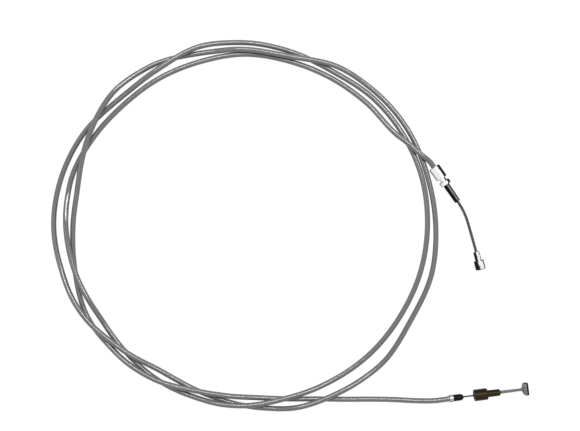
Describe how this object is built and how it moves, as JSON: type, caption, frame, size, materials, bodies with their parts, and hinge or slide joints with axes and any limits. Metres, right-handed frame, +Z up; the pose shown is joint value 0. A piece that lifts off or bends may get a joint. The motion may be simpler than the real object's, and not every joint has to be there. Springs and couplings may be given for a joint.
{
  "type": "throttle cable",
  "caption": "Sheathed throttle cable lying in a loose coil, with a barrel ferrule and stepped nipple at one end and a loose stop and hammer head at the other.",
  "frame": {"origin": "under the middle of the whole cable, on the surface that it lies on", "axes": "+X along the straight tail to the hammer head, +Y from that tail towards the far side of the coil, +Z up"},
  "size_m": [0.4464, 0.3463, 0.011],
  "materials": {
    "sheath": "satin grey",
    "conduit": "plain steel",
    "wire": "galvanised",
    "bright_plate": "bright plated",
    "dark_steel": "dark, drawn",
    "rope": "stranded",
    "nipple_plate": "bright plated",
    "ring": "plated, crimped",
    "cap": "black",
    "stop": "glossy dark brown",
    "thin_wire": "galvanised",
    "sleeve": "wound, dull",
    "zinc": "cast zinc, dull grey"
  },
  "bodies": {
    "casing": {"casing_jacket": "sheath", "spiral_conduit": "conduit", "inner_wire_run": "wire", "barrel_ferrule": "bright_plate", "guide_tube": "dark_steel", "crimp_ring_b": "ring", "end_cap_b": "cap"},
    "wire_end_a": {"wire_a": "rope", "nipple_a": "nipple_plate"},
    "wire_end_b": {"wire_b": "thin_wire", "wire_sleeve_b": "sleeve", "hammer_head": "zinc"},
    "stop_b": {"cable_stop": "stop"}
  },
  "joints": [
    {"name": "wire_pull_a", "type": "slide", "parent": "casing", "child": "wire_end_a", "axis": [0.5693, -0.8221, 0], "range_m": [0, 0.02]},
    {"name": "wire_draw_b", "type": "slide", "parent": "casing", "child": "wire_end_b", "axis": [0.9923, 0.1236, 0], "range_m": [-0.02, 0]},
    {"name": "stop_slide", "type": "slide", "parent": "casing", "child": "stop_b", "axis": [0.9923, 0.1236, 0], "range_m": [-0.0172, 0]}
  ],
  "couplings": [
    {"joint": "wire_draw_b", "follows": "wire_pull_a", "ratio": -1}
  ]
}
